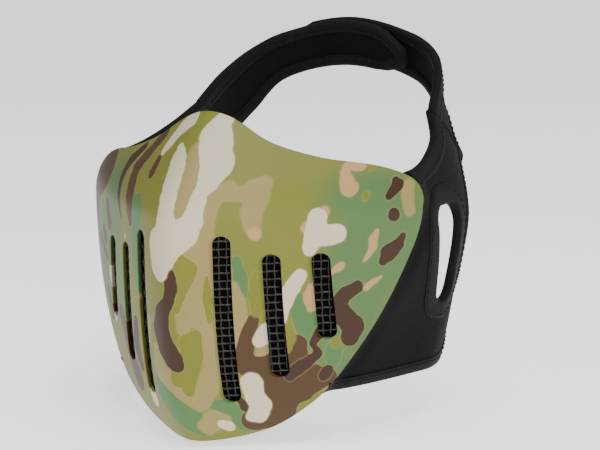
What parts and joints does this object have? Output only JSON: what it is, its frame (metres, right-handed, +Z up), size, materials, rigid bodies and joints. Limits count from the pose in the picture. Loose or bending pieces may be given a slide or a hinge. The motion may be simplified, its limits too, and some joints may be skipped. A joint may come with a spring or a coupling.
{
  "type": "half-face mask",
  "caption": "Camouflage-printed half-face mask: ridged hard shell with breathing slots over wire mesh, soft side panels with ear openings, and a hook-and-loop strap behind the head.",
  "frame": {"origin": "centre of the head opening, midway between the two ear openings", "axes": "+Z up as worn, -Y out through the nose ridge (the mask faces -Y), +X towards the wearer's left"},
  "size_m": [0.1706, 0.1843, 0.176],
  "materials": {
    "camo_shell": "satin, printed camouflage",
    "wire_mesh": "black coated woven wire",
    "foam_rubber_sheet": "matte knit face on foam rubber",
    "binding_tape": "matte ribbed tape",
    "pad_foam": "matte open foam",
    "hook_tape": "rough hook face",
    "loop_tape": "fuzzy loop face"
  },
  "bodies": {
    "mask": {"face_shell": "camo_shell", "left_mesh_panel": "wire_mesh", "right_mesh_panel": "wire_mesh", "left_liner": "foam_rubber_sheet", "right_liner": "foam_rubber_sheet", "centre_seam_tape": "binding_tape", "nose_pad": "pad_foam"},
    "left_wing": {"left_side_panel": "foam_rubber_sheet", "left_ear_binding": "binding_tape", "left_top_binding": "binding_tape", "left_rear_binding": "binding_tape", "left_hem_binding": "binding_tape", "left_strap": "foam_rubber_sheet", "left_strap_binding": "binding_tape"},
    "left_tab": {"left_strap_tab": "foam_rubber_sheet", "tab_binding": "binding_tape", "hook_patch": "hook_tape"},
    "right_wing": {"right_side_panel": "foam_rubber_sheet", "right_ear_binding": "binding_tape", "right_top_binding": "binding_tape", "right_rear_binding": "binding_tape", "right_hem_binding": "binding_tape", "right_strap": "foam_rubber_sheet", "right_strap_binding": "binding_tape", "loop_patch": "loop_tape"}
  },
  "joints": [
    {"name": "left_wing_fold", "type": "hinge", "parent": "mask", "child": "left_wing", "pos_m": [0.09, -0.041, 0.021], "axis": [-0.3539, -0.3474, -0.8684], "range_deg": [0, 35], "stiffness_Nm_per_rad": 0.5},
    {"name": "right_wing_fold", "type": "hinge", "parent": "mask", "child": "right_wing", "pos_m": [-0.0788, -0.041, 0.021], "axis": [0.3558, -0.3471, -0.8677], "range_deg": [0, 45], "stiffness_Nm_per_rad": 0.5},
    {"name": "strap_peel", "type": "hinge", "parent": "left_wing", "child": "left_tab", "pos_m": [0.03913, 0.05372, 0.0773], "axis": [-0.0855, 0.3159, -0.9449], "range_deg": [0, 90], "stiffness_Nm_per_rad": 0.05}
  ]
}
